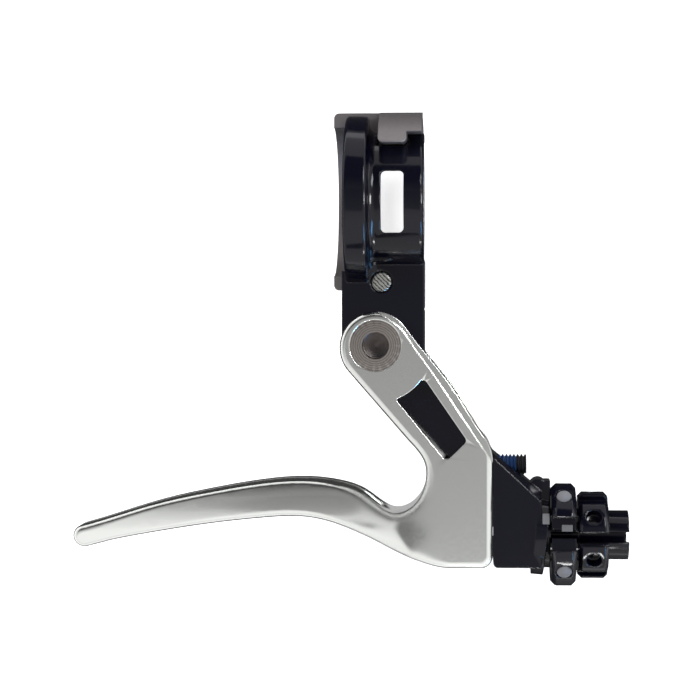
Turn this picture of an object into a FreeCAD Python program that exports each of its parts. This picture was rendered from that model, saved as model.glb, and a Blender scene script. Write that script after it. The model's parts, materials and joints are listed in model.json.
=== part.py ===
import FreeCAD, Part
import math
import os
import re

Vector = FreeCAD.Vector
Rotation = FreeCAD.Rotation

# Bicycle brake lever for a right-hand grip, in millimetres.
# The bar runs along X through the origin, the lever turns about a Z axis below it.
# Lengths called drop run towards -Y, lengths called reach run towards +X from the pivot.
SIZES = {
    # bar clamp
    "bar_radius": 11.1,
    "split_half": 0.3,
    "clamp_right": 8.4,
    "band_left": -6.2,
    "band_right": -1.9,
    "band_wall": 4.9,
    "recess_step": 2.9,
    "recess_end": -2.6,
    "ring_wall": 1.8,
    "step_fillet": 1.5,
    "band_edge": 0.6,
    "window_left": 0.6,
    "window_right": 4.8,
    "window_half": 5.65,
    "window_shift": -0.5,
    "window_round": 0.9,
    "cap_left": -8.7,
    "cap_short": 0.35,
    "cap_wall": 5.6,
    "cap_edge": 1.0,
    "cap_window_left": -1.3,
    "cap_window_right": 4.7,
    "cap_window_half": 6.85,
    "cap_window_shift": 0.75,
    # hook that joins cap and body at the far side of the bar
    "hook_left": -0.2,
    "hook_right": 5.6,
    "hook_edge": 10.2,
    "hook_lip": 5.6,
    "hook_rise": 3.8,
    "hook_shoulder": 12.3,
    "hook_round": 1.0,
    "hook_gap": 0.3,
    # neck and clamp bolt
    "neck_left": -6.9,
    "neck_half": 5.0,
    "lug_margin": 4.9,
    "lug_gap": 0.4,
    "lug_bottom": 6.0,
    "bolt_x": 0.5,
    "bolt_offset": 4.0,
    "bolt_radius": 2.0,
    "bolt_hole_play": 0.25,
    "thread_play": 0.05,
    "bolt_tip": 0.1,
    "bolt_head_radius": 3.5,
    "bolt_head_height": 4.0,
    "bolt_key": 3.0,
    "bolt_key_depth": 2.2,
    "screw_chamfer": 0.4,
    "washer_radius": 4.2,
    "washer_thick": 0.8,
    # pivot
    "pivot_x": -0.5,
    "pivot_margin": 6.9,
    "arm_boss_radius": 6.3,
    "arm_edge_offset": 4.0,
    "arm_lean": 47.8,
    "arm_toe_drop": 25.1,
    "arm_root_drop": 1.1,
    "arm_foot_drop": 28.6,
    # adjuster housing
    "housing_reach": 21.8,
    "housing_half": 6.8,
    "housing_peak_drop": 20.0,
    "housing_length": 8.9,
    "shoulder_fall": 7.2,
    "shoulder_bevel": 1.7,
    "shoulder_bevel_peak": 0.7,
    "shoulder_bevel_depth": 3.8,
    "housing_floor_drop": 41.15,
    "housing_corner": 0.9,
    "barrel_drop": 35.6,
    "barrel_boss_radius": 6.2,
    "barrel_boss_length": 1.7,
    "band_clip_radius": 7.5,
    "band_clip_width": 2.2,
    "band_clip_lean": 5.0,
    "band_clip_inset": 1.8,
    "barrel_thread_radius": 5.0,
    "barrel_thread_depth": 8.4,
    "barrel_play": 0.08,
    "cable_slot": 2.2,
    "cable_hole_radius": 2.0,
    "stop_lug_radius": 1.6,
    "stop_lug_drop": 26.5,
    "stop_lug_half": 3.0,
    "stop_lug_length": 2.2,
    # reach screw
    "reach_drop": 22.5,
    "reach_radius": 2.0,
    "reach_proud": 6.2,
    "reach_key": 2.0,
    "reach_key_depth": 2.5,
    "reach_tip_gap": 0.1,
    # pivot bearings
    "bearing_radius": 5.0,
    "bearing_bore": 3.0,
    "bearing_width": 3.0,
    "fit_play": 0.02,
    "race_outer_lip": 4.35,
    "race_inner_lip": 3.65,
    "ball_radius": 0.6,
    "ball_play": 0.03,
    "ball_count": 7,
    "shield_thick": 0.25,
    "shield_inset": 0.1,
    "shield_play": 0.08,
    "spacer_radius": 3.8,
    "shoulder_radius": 4.3,
    "thrust_radius": 3.9,
    # lever fork
    "fork_half": 8.0,
    "fork_play": 0.3,
    "fork_gap": 0.12,
    "boss_radius": 6.7,
    "boss_shift": 0.4,
    "arm_side": 41.0,
    "arm_side_length": 16.3,
    "knuckle_floor_drop": 41.2,
    "knuckle_corner": 2.2,
    "slot_play": 0.8,
    "slot_round": 7.1,
    "stop_wall_reach": 12.8,
    "edge_round": 1.2,
    "crown_depth": 12.0,
    "crown_lift": 9.6,
    "crown_start": 9.0,
    "crown_rise": 2.3,
    "ledge_depth": 0.9,
    "fork_window_arc": 10.6,
    "window_corner": 0.9,
    # lever blade
    "blade_reach": 57.4,
    "blade_tip_round": 2.1,
    "blade_root_half": 6.4,
    "blade_tip_half": 4.7,
    "groove_depth": 2.2,
    "groove_half": 1.7,
    # cable seat in the lever
    "nipple_reach": 14.0,
    "nipple_radius": 3.6,
    "nipple_top": 3.5,
    "nipple_slot_top": 1.2,
    # pivot axle and its bolt
    "axle_head_radius": 4.75,
    "axle_head_height": 1.8,
    "axle_head_sink": 0.1,
    "axle_dimple_radius": 2.5,
    "axle_dimple_depth": 3.6,
    "axle_dimple_cone": 1.2,
    "axle_end_gap": 0.1,
    "pivot_bolt_radius": 2.0,
    "pivot_bolt_length": 6.0,
    "pivot_head_radius": 3.8,
    "pivot_head_height": 1.5,
    "pivot_key": 2.5,
    "pivot_key_depth": 1.0,
    # lock ring
    "ring_gap": 0.2,
    "lock_width": 4.5,
    "lock_radius": 10.0,
    "lock_waist": 7.2,
    "lock_lobes": 4,
    "lock_notch": 6.2,
    "lock_turn": 7.0,
    "lock_slot": 1.6,
    "lock_hole_radius": 1.6,
    "lock_chamfer": 0.8,
    # barrel adjuster
    "adjuster_gap": 0.5,
    "collar_width": 5.5,
    "collar_radius": 8.1,
    "collar_waist": 6.9,
    "collar_pads": 6,
    "collar_notch": 2.6,
    "collar_hole_radius": 1.45,
    "collar_chamfer": 0.7,
    "spout_length": 3.9,
    "spout_radius": 4.6,
    "adjuster_thread_length": 13.2,
    "housing_seat_radius": 3.05,
    "housing_seat_depth": 9.0,
    "wire_hole_radius": 1.3,
    "adjuster_slot": 2.0,
}

# Sizes that follow from others
DERIVED = {
    "ring_radius": "(bar_radius + ring_wall)",
    "band_radius": "(bar_radius + band_wall)",
    "recess_radius": "(bar_radius + recess_step)",
    "cap_radius": "(bar_radius + cap_wall)",
    "hook_radius": "(bar_radius + ring_wall + hook_rise)",
    "bolt_drop": "(bar_radius + bolt_offset)",
    "lug_drop": "(bar_radius + bolt_offset + lug_margin)",
    "pivot_drop": "(bar_radius + bolt_offset + lug_margin + pivot_margin)",
}

# Blade front edge, from the knuckle to the tip: shares of the blade's reach and the knuckle floor's drop
FRONT_EDGE = [(-0.156, 0.978), (-0.105, 0.953), (-0.043, 0.914), (0.012, 0.875), (0.07, 0.839),
              (0.127, 0.808), (0.227, 0.777), (0.373, 0.783), (0.621, 0.828), (0.877, 0.896)]
# Blade back edge, from the tip to the crook of the arm, in the same shares
BACK_EDGE = [(0.725, 0.722), (0.555, 0.668), (0.387, 0.627), (0.248, 0.611), (0.137, 0.625),
             (0.04, 0.672)]
# Crook between blade and arm: shares of the housing's reach and the knuckle floor's drop
CROOK = [(0.055, 0.734), (0.165, 0.756), (0.294, 0.732), (0.388, 0.672), (0.427, 0.6),
         (0.417, 0.527)]
# Open side of the fork, from the pivot boss to the knuckle: shares of the housing's reach and peak drop
FORK_SIDE = [(0.569, 0.27), (0.729, 0.52), (0.885, 0.79)]
# Crease where the plates step down to a ledge along their open side, in the same shares
FORK_LEDGE = [(-0.028, -0.345), (0.073, -0.267), (0.229, -0.143), (0.321, 0.005), (0.445, 0.195),
              (0.697, 0.6), (0.931, 0.98), (1.037, 1.15)]
# Window in the fork's plates, in the same shares, with the size that rounds each corner
FORK_WINDOW = [(0.413, 0.3, "window_corner"), (0.78, 0.88, "window_corner"), (0.601, 1.07, "window_corner"), (0.165, 0.485, "window_corner")]

doc = FreeCAD.newDocument("BrakeLever")
sheet = doc.addObject("Spreadsheet::Sheet", "Sizes")
for row, (alias, number) in enumerate(SIZES.items(), start=1):
    sheet.set("A%d" % row, alias)
    sheet.set("B%d" % row, str(number))
    sheet.setAlias("B%d" % row, alias)
doc.recompute()


def size(alias):
    """Number for one size, from the sheet or from the sizes it follows."""
    if alias in DERIVED:
        return sum(size(term) for term in DERIVED[alias].strip("()").split(" + "))
    return float(sheet.get(alias))


def bind(thing, prop, text):
    """Tie a property to a formula written with the sheet's names."""
    def named(match):
        word = match.group(0)
        return "Sizes." + word if word in SIZES else word
    full = re.sub(r"[a-z_]+", lambda match: DERIVED.get(match.group(0), match.group(0)), text)
    thing.setExpression(prop, re.sub(r"[a-z_]+", named, full))


def place(thing, at, turn):
    thing.Placement = FreeCAD.Placement(Vector(), turn)
    for letter, text in zip("xyz", at):
        bind(thing, "Placement.Base." + letter, text)


ALONG = {
    "X": Rotation(Vector(0, 1, 0), 90),
    "Y": Rotation(Vector(1, 0, 0), -90),
    "Z": Rotation(),
}


def cylinder(name, radius, height, at, along):
    """Round bar that starts at a point and runs along +X, +Y or +Z."""
    bar = doc.addObject("Part::Cylinder", name)
    bind(bar, "Radius", radius)
    bind(bar, "Height", height)
    place(bar, at, ALONG[along])
    return bar


def cone(name, first, second, height, at, along):
    taper = doc.addObject("Part::Cone", name)
    bind(taper, "Radius1", first)
    bind(taper, "Radius2", second)
    bind(taper, "Height", height)
    place(taper, at, ALONG[along])
    return taper


def block(name, x, y, z):
    """Box between two formulas on each axis."""
    box = doc.addObject("Part::Box", name)
    for prop, span in (("Length", x), ("Width", y), ("Height", z)):
        bind(box, prop, "(%s) - (%s)" % (span[1], span[0]))
    place(box, (x[0], y[0], z[0]), Rotation())
    return box


def hexagon(name, key, height, at, along):
    """Hex socket, given by its width across flats."""
    prism = doc.addObject("Part::Prism", name)
    prism.Polygon = 6
    bind(prism, "Circumradius", "(%s) / sqrt(3)" % key)
    bind(prism, "Height", height)
    place(prism, at, ALONG[along])
    return prism


def fuse(name, *pieces):
    joined = doc.addObject("Part::MultiFuse", name)
    joined.Shapes = list(pieces)
    joined.Refine = True
    return joined


def cut(name, base, *tools):
    tool = tools[0] if len(tools) == 1 else fuse(name + "_tools", *tools)
    left = doc.addObject("Part::Cut", name)
    left.Base = base
    left.Tool = tool
    left.Refine = True
    return left


def common(name, *pieces):
    shared = doc.addObject("Part::MultiCommon", name)
    shared.Shapes = list(pieces)
    shared.Refine = True
    return shared


def rounded(name, base, radius, chosen):
    """Fillet the edges of a piece that a test picks."""
    doc.recompute()
    soft = doc.addObject("Part::Fillet", name)
    soft.Base = base
    soft.Edges = [(i, radius, radius) for i, edge in enumerate(base.Shape.Edges, start=1) if chosen(edge)]
    return soft


def upright(edge):
    """Is the edge a straight one along Z?"""
    return edge.BoundBox.XLength < 1e-6 and edge.BoundBox.YLength < 1e-6


def extrude(name, face, low, high):
    """Solid from a flat outline in the XY plane, between two heights."""
    flat = doc.addObject("Part::Feature", name + "_outline")
    flat.Shape = face
    solid = doc.addObject("Part::Extrusion", name)
    solid.Base = flat
    solid.DirMode = "Custom"
    solid.Dir = Vector(0, 0, 1)
    solid.Solid = True
    bind(solid, "LengthFwd", high)
    bind(solid, "LengthRev", "-(%s)" % low)
    return solid


def patterned(name, piece, count, centre, axis, turn=0.0):
    """Copies of a tool turned evenly about an axis, the first one by a given angle."""
    doc.recompute()
    copies = []
    for step in range(count):
        copy = doc.addObject("Part::Feature", "%s_%d" % (name, step + 1))
        turned = piece.Shape.copy()
        turned.rotate(centre, axis, turn + 360.0 * step / count)
        copy.Shape = turned
        copies.append(copy)
    return copies[0] if count == 1 else fuse(name, *copies)


def outline(corners):
    """Flat face from corners given as x, y and corner radius."""
    edges = []
    starts = []
    ends = []
    total = len(corners)
    for i, (x, y, radius) in enumerate(corners):
        here = Vector(x, y, 0)
        before = Vector(*corners[i - 1][:2], 0)
        after = Vector(*corners[(i + 1) % total][:2], 0)
        back = (before - here).normalize()
        ahead = (after - here).normalize()
        half = back.getAngle(ahead) / 2
        trim = radius / math.tan(half)
        starts.append(here + back * trim)
        ends.append(here + ahead * trim)
        if radius > 0:
            middle = (back + ahead).normalize()
            inner = here + middle * (radius / math.sin(half) - radius)
            edges.append(Part.Arc(starts[i], inner, ends[i]).toShape())
        else:
            edges.append(None)
    loop = []
    for i in range(total):
        if edges[i] is not None:
            loop.append(edges[i])
        loop.append(Part.LineSegment(ends[i], starts[(i + 1) % total]).toShape())
    return Part.Face(Part.Wire(loop))


def smooth(points, first=None, last=None):
    """Curve through points, with its end directions where they are given."""
    curve = Part.BSplineCurve()
    if first is None:
        curve.interpolate(Points=points)
    else:
        curve.interpolate(Points=points, InitialTangent=first, FinalTangent=last)
    return curve.toShape()


pivot_x = size("pivot_x")
pivot_y = -size("pivot_drop")
PIVOT_Y = "-pivot_drop"
HOUSING_LEFT = "pivot_x + housing_reach"
BARREL_Y = "-pivot_drop - barrel_drop"
BOSS_START = "pivot_x + housing_reach + housing_length"
BOSS_END = BOSS_START + " + barrel_boss_length"
REACH_Y = "-pivot_drop - reach_drop"
BOLT_Y = "-bolt_drop"
SLOT_HALF = "neck_half + fork_play"
housing_left = pivot_x + size("housing_reach")


def near_pivot(reach, drop):
    """Point in the XY plane from its reach and drop at the pivot."""
    return Vector(pivot_x + reach, pivot_y - drop, 0)


def half_clamp_shell():
    """Upper half of the clamp: narrow ring, wider band at the grip side, rounded step between them."""
    band = cylinder("clamp_band", "band_radius", "band_right - band_left", ("band_left", "0", "0"), "X")
    ring = cylinder("clamp_ring", "ring_radius", "clamp_right - band_left", ("band_left", "0", "0"), "X")
    shell = fuse("clamp_shell", band, ring)

    def round_edge(edge, x, radius):
        box = edge.BoundBox
        flat = box.XLength < 1e-6 and abs(box.XMin - x) < 1e-6
        return flat and abs(box.YMax - radius) < 1e-6
    step = rounded("clamp_step", shell, size("step_fillet"),
                   lambda edge: round_edge(edge, size("band_right"), size("ring_radius")))
    soft = rounded("clamp_soft", step, size("band_edge"),
                   lambda edge: round_edge(edge, size("band_left"), size("band_radius"))
                   or round_edge(edge, size("band_right"), size("band_radius"))
                   or round_edge(edge, size("clamp_right"), size("ring_radius")))
    lower = block("clamp_lower_half", ("band_left - 1", "clamp_right + 1"),
                  ("-band_radius - 1", "band_radius + 1"), ("-band_radius - 1", "split_half"))
    return cut("clamp_half", soft, lower)


def arm_outline():
    """Strut from the pivot boss to the adjuster housing."""
    lean = math.radians(size("arm_lean"))
    along = Vector(math.cos(lean), -math.sin(lean), 0)
    aside = Vector(-math.sin(lean), -math.cos(lean), 0)
    foot = near_pivot(0, 0) + aside * size("arm_edge_offset")
    toe = foot + along * ((foot.y - pivot_y + size("arm_toe_drop")) / math.sin(lean))
    inside = housing_left + size("housing_length") / 8
    peak = near_pivot(size("housing_reach"), size("housing_peak_drop"))
    root = Vector(size("clamp_right"), pivot_y - size("arm_root_drop"), 0)
    return outline([
        (foot.x, foot.y, 0),
        (toe.x, toe.y, 0),
        (inside, pivot_y - size("arm_foot_drop"), 0),
        (inside, peak.y - size("shoulder_fall") / 3, 0),
        (peak.x, peak.y, 0),
        (root.x, root.y, 0),
        (root.x, pivot_y + size("arm_boss_radius"), 0),
        (pivot_x, pivot_y, 0),
    ])


def housing_outline():
    """Adjuster housing seen from above, with a sloping shoulder."""
    peak = near_pivot(size("housing_reach"), size("housing_peak_drop"))
    end = peak + Vector(size("housing_length"), -size("shoulder_fall"), 0)
    floor = pivot_y - size("housing_floor_drop")
    return outline([
        (peak.x, peak.y, 0),
        (peak.x, floor, size("housing_corner")),
        (end.x, floor, 0),
        (end.x, end.y, 0),
    ])


def shoulder_bevels():
    """Two blocks that plane the shoulder's edges, above and below, wider towards the adjuster."""
    peak = near_pivot(size("housing_reach"), size("housing_peak_drop"))
    end = peak + Vector(size("housing_length"), -size("shoulder_fall"), 0)
    half = size("housing_half")
    wide = 6 * size("housing_length")
    blocks = []
    for name, sign in (("bevel_upper", 1), ("bevel_lower", -1)):
        first = peak + Vector(0, -size("shoulder_bevel_peak"), sign * half)
        second = end + Vector(0, -size("shoulder_bevel"), sign * half)
        third = end + Vector(0, 0, sign * (half - size("shoulder_bevel_depth")))
        outwards = (second - first).cross(third - first).normalize()
        if outwards.y < 0:
            outwards = outwards * -1
        turn = Rotation(Vector(0, 0, 1), outwards)
        plane = block(name, ("0", "6 * housing_length"), ("0", "6 * housing_length"), ("0", "6 * housing_length"))
        for letter in "xyz":
            plane.setExpression("Placement.Base." + letter, None)
        plane.Placement = FreeCAD.Placement(first - turn.multVec(Vector(wide / 2, wide / 2, 0)), turn)
        blocks.append(plane)
    return blocks


def band_clip():
    """Band round the end of the housing, leaning a little towards the adjuster at its upper side."""
    lean = Rotation(Vector(0, 0, 1), -size("band_clip_lean"))
    middle = near_pivot(size("housing_reach") + size("housing_length") + size("barrel_boss_length")
                        - size("band_clip_inset"), size("barrel_drop"))
    start = middle - lean.multVec(Vector(size("band_clip_width") / 2, 0, 0))
    clip = cylinder("band_clip", "band_clip_radius", "band_clip_width", ("0", "0", "0"), "X")
    for letter in "xyz":
        clip.setExpression("Placement.Base." + letter, None)
    clip.Placement = FreeCAD.Placement(start, lean.multiply(ALONG["X"]))
    return clip


def lever_body():
    clamp = half_clamp_shell()
    bridge = block("neck_bridge", ("neck_left", "clamp_right"), ("-lug_drop - lug_gap - 1", "-bar_radius + 3"),
                   ("split_half", "neck_half"))
    neck = block("neck", ("neck_left", "clamp_right"), (PIVOT_Y, "-lug_drop - lug_gap"),
                 ("-neck_half", "neck_half"))
    boss = cylinder("pivot_boss", "arm_boss_radius", "2 * neck_half", ("pivot_x", PIVOT_Y, "-neck_half"), "Z")
    arm = extrude("arm", arm_outline(), "-neck_half", "neck_half")
    slab = extrude("housing_slab", housing_outline(), "-housing_half", "housing_half")
    housing = cut("housing_bevelled", slab, *shoulder_bevels())
    barrel = cylinder("barrel_boss", "barrel_boss_radius", "housing_length / 2 + barrel_boss_length",
                      (BOSS_START + " - housing_length / 2", BARREL_Y, "0"), "X")
    stop_y = "-pivot_drop - stop_lug_drop"
    stop_x = BOSS_END + " - stop_lug_length"
    stop_round = cylinder("stop_lug_round", "stop_lug_radius", "2 * stop_lug_half",
                          (stop_x, stop_y, "-stop_lug_half"), "Z")
    stop_bar = block("stop_lug_bar", (stop_x, BOSS_END),
                     (BARREL_Y + " + barrel_boss_radius - 2", stop_y + " + 0.75 * stop_lug_radius"),
                     ("-stop_lug_half", "stop_lug_half"))
    solid = fuse("body_solid", clamp, bridge, neck, boss, arm, housing, barrel, band_clip(), stop_round,
                 stop_bar)

    bore = cylinder("bar_bore", "bar_radius", "2 * clamp_right - 2 * cap_left", ("2 * cap_left", "0", "0"), "X")
    recess = cylinder("grip_recess", "recess_radius", "recess_end - 2 * cap_left", ("2 * cap_left", "0", "0"), "X")
    window = rounded("clamp_window_round",
                     block("clamp_window", ("window_left", "window_right"), ("window_shift - window_half", "window_shift + window_half"),
                           ("0", "2 * band_radius")),
                     size("window_round"), upright)
    hook_slot = block("hook_slot", ("hook_left", "hook_right"), ("hook_edge - hook_gap", "2 * band_radius"),
                      ("hook_lip - hook_gap", "2 * band_radius"))
    hook_room = cut("hook_room",
                    block("hook_room_block", ("hook_left", "hook_right"),
                          ("hook_edge - hook_gap", "2 * band_radius"), ("0", "2 * band_radius")),
                    cylinder("hook_room_core", "ring_radius + hook_gap / 6", "clamp_right - band_left",
                             ("band_left", "0", "0"), "X"))
    bolt_hole = cylinder("bolt_thread", "bolt_radius + thread_play", "2 * neck_half", ("bolt_x", BOLT_Y, "0"), "Z")
    seats = [
        cylinder("seat_upper", "bearing_radius", "2 * bearing_width",
                 ("pivot_x", PIVOT_Y, "neck_half - bearing_width"), "Z"),
        cylinder("seat_lower", "bearing_radius", "2 * bearing_width",
                 ("pivot_x", PIVOT_Y, "-neck_half - bearing_width"), "Z"),
        cylinder("seat_shoulder", "shoulder_radius", "2 * neck_half", ("pivot_x", PIVOT_Y, "-neck_half"), "Z"),
    ]
    thread = cylinder("barrel_thread", "barrel_thread_radius", "2 * barrel_thread_depth",
                      (BOSS_END + " - barrel_thread_depth", BARREL_Y, "0"), "X")
    wire_hole = cylinder("wire_hole", "cable_hole_radius", "2 * barrel_drop",
                         (HOUSING_LEFT + " - 1", BARREL_Y, "0"), "X")
    wire_slot = block("wire_slot", (HOUSING_LEFT + " - 1", BOSS_END + " + 1"),
                      (BARREL_Y + " - cable_slot / 2", BARREL_Y + " + cable_slot / 2"), ("-2 * housing_half", "0"))
    reach_hole = cylinder("reach_thread", "reach_radius + thread_play", "2 * housing_reach",
                          ("pivot_x", REACH_Y, "0"), "X")
    return cut("lever_body", solid, bore, recess, window, hook_slot, hook_room, bolt_hole, *seats,
               thread, wire_hole, wire_slot, reach_hole)


def clamp_cap():
    half = cylinder("cap_round", "cap_radius", "clamp_right - cap_short - cap_left", ("cap_left", "0", "0"), "X")

    def end_edge(edge):
        box = edge.BoundBox
        return box.XLength < 1e-6 and abs(box.YMax - size("cap_radius")) < 1e-6
    soft = rounded("cap_soft", half, size("cap_edge"), end_edge)
    upper = block("cap_upper_half", ("cap_left - 1", "clamp_right + 1"), ("-2 * cap_radius", "2 * cap_radius"),
                  ("-split_half", "2 * cap_radius"))
    shell = cut("cap_half", soft, upper)
    lug = block("cap_lug", ("neck_left", "clamp_right"), ("-lug_drop", "-bar_radius"), ("-lug_bottom", "-split_half"))
    hook_span = ("hook_left + hook_gap", "hook_right - hook_gap")
    hook_ring = cut("hook_ring",
                    cylinder("hook_outer", "hook_radius", "clamp_right - cap_short - hook_left - hook_gap",
                             (hook_span[0], "0", "0"), "X"),
                    cylinder("hook_inner", "ring_radius + hook_gap / 2", "clamp_right - band_left",
                             ("band_left", "0", "0"), "X"))

    def tongue_corner(edge):
        return upright(edge) and abs(edge.BoundBox.YMin - size("hook_edge")) < 1e-6
    tongue_room = rounded("hook_tongue_round",
                          block("hook_tongue_room", hook_span, ("hook_edge", "2 * hook_radius"),
                                ("-2 * split_half", "2 * hook_radius")), size("hook_round"), tongue_corner)
    shoulder_room = block("hook_shoulder_room", (hook_span[0], "clamp_right - cap_short"),
                          ("hook_shoulder", "2 * hook_radius"), ("-2 * split_half", "2 * hook_radius"))
    tongue = common("hook_tongue", hook_ring, fuse("hook_room_both", tongue_room, shoulder_room))
    lip_room = rounded("hook_lip_round",
                       block("hook_lip_room", hook_span, ("hook_edge", "2 * hook_radius"),
                             ("hook_lip", "2 * hook_radius")), size("hook_round"), tongue_corner)
    lip = common("hook_lip_part",
                 cylinder("hook_lip_outer", "hook_radius - hook_gap", "hook_right - hook_left - 2 * hook_gap",
                          (hook_span[0], "0", "0"), "X"), lip_room)
    solid = fuse("cap_solid", shell, lug, tongue, lip)
    bore = cylinder("cap_bore", "bar_radius", "2 * clamp_right - 2 * cap_left", ("2 * cap_left", "0", "0"), "X")
    recess = cylinder("cap_recess", "recess_radius", "recess_end - 2 * cap_left", ("2 * cap_left", "0", "0"), "X")
    window = rounded("cap_window_round",
                     block("cap_window", ("cap_window_left", "cap_window_right"),
                           ("cap_window_shift - cap_window_half", "cap_window_shift + cap_window_half"),
                           ("-2 * cap_radius", "0")),
                     size("window_round"), upright)
    hole = cylinder("cap_bolt_hole", "bolt_radius + bolt_hole_play", "2 * lug_bottom",
                    ("bolt_x", BOLT_Y, "-2 * lug_bottom"), "Z")
    seat = cylinder("cap_bolt_seat", "washer_radius + bolt_hole_play", "2 * cap_radius",
                    ("bolt_x", BOLT_Y, "-lug_bottom - 2 * cap_radius"), "Z")
    return cut("clamp_cap", solid, bore, recess, window, hole, seat)


def clamp_bolt():
    seat = "-lug_bottom - washer_thick"
    shank_top = "neck_half + bolt_tip"
    shank = cylinder("bolt_shank", "bolt_radius", shank_top + " - screw_chamfer - (%s)" % seat,
                     ("bolt_x", BOLT_Y, seat), "Z")
    tip = cone("bolt_tip_cone", "bolt_radius", "bolt_radius - screw_chamfer", "screw_chamfer",
               ("bolt_x", BOLT_Y, shank_top + " - screw_chamfer"), "Z")
    head = cylinder("bolt_head", "bolt_head_radius", "bolt_head_height",
                    ("bolt_x", BOLT_Y, seat + " - bolt_head_height"), "Z")
    key = hexagon("bolt_socket", "bolt_key", "bolt_key_depth", ("bolt_x", BOLT_Y, seat + " - bolt_head_height"), "Z")
    return cut("clamp_bolt", fuse("bolt_solid", shank, tip, head), key)


def ring(name, outer, inner, low, high):
    """Flat ring about the pivot axis."""
    disc = cylinder(name + "_disc", outer, "(%s) - (%s)" % (high, low), ("pivot_x", PIVOT_Y, low), "Z")
    hole = cylinder(name + "_hole", inner, "2 * fork_half", ("pivot_x", PIVOT_Y, "-fork_half"), "Z")
    return cut(name, disc, hole)


def clamp_washer():
    low = "-lug_bottom - washer_thick"
    disc = cylinder("washer_disc", "washer_radius", "washer_thick", ("bolt_x", BOLT_Y, low), "Z")
    hole = cylinder("washer_hole", "bolt_radius + bolt_hole_play", "washer_thick", ("bolt_x", BOLT_Y, low), "Z")
    return cut("clamp_washer", disc, hole)


def lever_plan():
    """Whole lever seen from above: boss, arm, knuckle and blade in one smooth outline."""
    reach = size("blade_reach")
    floor = size("knuckle_floor_drop")
    corner = size("knuckle_corner")
    right = size("housing_reach") - size("fork_gap")
    side = math.radians(size("arm_side"))
    up_left = Vector(-math.cos(math.pi / 2 - side), math.sin(math.pi / 2 - side), 0)
    centre = near_pivot(0, size("boss_shift"))
    boss = size("boss_radius")
    arm_start = centre + Vector(-up_left.y, up_left.x, 0) * boss
    arm_end = arm_start - up_left * size("arm_side_length")
    wide = size("housing_reach")
    peak = size("housing_peak_drop")
    fork_side = [near_pivot(across * wide, down * peak) for across, down in FORK_SIDE]
    open_way = (fork_side[1] - fork_side[0]).normalize()
    open_start = centre + Vector(-open_way.y, open_way.x, 0) * boss
    boss_top = centre + Vector(0, boss, 0)

    knuckle_low = near_pivot(right - corner, floor)
    knuckle_side = near_pivot(right, floor - corner)
    knuckle_mid = near_pivot(right - corner * (1 - math.sqrt(0.5)), floor - corner * (1 - math.sqrt(0.5)))
    open_end = near_pivot(right, 1.075 * peak)
    front_start = near_pivot(0.24 * reach, floor)

    tip_way = Vector(-0.967, -0.255, 0)
    tip_down = Vector(-tip_way.y, tip_way.x, 0)
    tip = size("blade_tip_round")
    tip_centre = near_pivot(-reach + tip, 0.876 * floor)
    front_end = tip_centre + tip_down * tip
    back_start = tip_centre - tip_down * tip

    front = [front_start] + [near_pivot(-along * reach, down * floor) for along, down in FRONT_EDGE] + [front_end]
    back = [back_start] + [near_pivot(-along * reach, down * floor) for along, down in BACK_EDGE]
    back += [near_pivot(across * wide, down * floor) for across, down in CROOK] + [arm_end]
    side_points = [open_start] + fork_side + [open_end]
    edges = [
        Part.LineSegment(knuckle_low, front_start).toShape(),
        smooth(front, Vector(-1, 0, 0), tip_way),
        Part.Arc(front_end, tip_centre + tip_way * tip, back_start).toBSpline().toShape(),
        smooth(back, tip_way * -1, up_left),
        Part.LineSegment(arm_end, arm_start).toShape(),
        Part.Arc(arm_start, boss_top, open_start).toShape(),
        smooth(side_points, open_way, Vector(0, -1, 0)),
        Part.LineSegment(open_end, knuckle_side).toShape(),
        Part.Arc(knuckle_side, knuckle_mid, knuckle_low).toShape(),
    ]
    return Part.Face(Part.Wire(edges)), back


def blade_crown():
    """What is taken off above and below the blade, which is crowned and thins from the knuckle to its tip."""
    fork = size("fork_half")
    reach = size("blade_reach")
    root = size("blade_root_half")
    tip = size("blade_tip_half")
    depth = size("crown_depth")
    middle = pivot_y - size("knuckle_floor_drop") + size("crown_lift")
    start = pivot_x + size("crown_start")
    end = pivot_x - 1.04 * reach
    stations = [(start, fork + size("crown_rise")), (start - 0.1 * reach, fork - 0.1 * (fork - root)),
                (start - 0.2 * reach, root + 0.25 * (fork - root)), (pivot_x - 0.26 * reach, root),
                (pivot_x - 0.62 * reach, (root + tip) / 2), (end, tip)]
    low = [Vector(x, middle, -z - 2 * depth) for x, z in stations]
    edges = [
        smooth(low),
        Part.LineSegment(low[-1], Vector(end, middle, -depth)).toShape(),
        Part.LineSegment(Vector(end, middle, -depth), Vector(start, middle, -depth)).toShape(),
        Part.LineSegment(Vector(start, middle, -depth), low[0]).toShape(),
    ]
    profile = doc.addObject("Part::Feature", "crown_profile")
    profile.Shape = Part.Face(Part.Wire(edges))
    dome = doc.addObject("Part::Revolution", "crown_dome")
    dome.Source = profile
    dome.Axis = Vector(1, 0, 0)
    dome.Base = Vector(0, middle, -depth)
    dome.Angle = 360.0
    dome.Solid = True
    room = block("crown_room", ("pivot_x - 1.03 * blade_reach", "pivot_x + crown_start"),
                 ("-2 * pivot_drop - 2 * knuckle_floor_drop", "-pivot_drop - 0.6 * knuckle_floor_drop"),
                 ("0", "2 * fork_half"))
    upper = cut("crown_upper", room, dome)
    lower = doc.addObject("Part::Mirroring", "crown_lower")
    lower.Source = upper
    lower.Normal = Vector(0, 0, 1)
    return [upper, lower]


def rim_of_walls(piece):
    """Picks the upper and lower edges of the upright walls of a piece."""
    doc.recompute()
    walls = [face for face in piece.Shape.Faces if face.BoundBox.ZMin < 0 < face.BoundBox.ZMax]

    def chosen(edge):
        if edge.BoundBox.ZMin * edge.BoundBox.ZMax <= 0:
            return False
        return any(edge.isSame(other) for face in walls for other in face.Edges)
    return chosen


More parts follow.
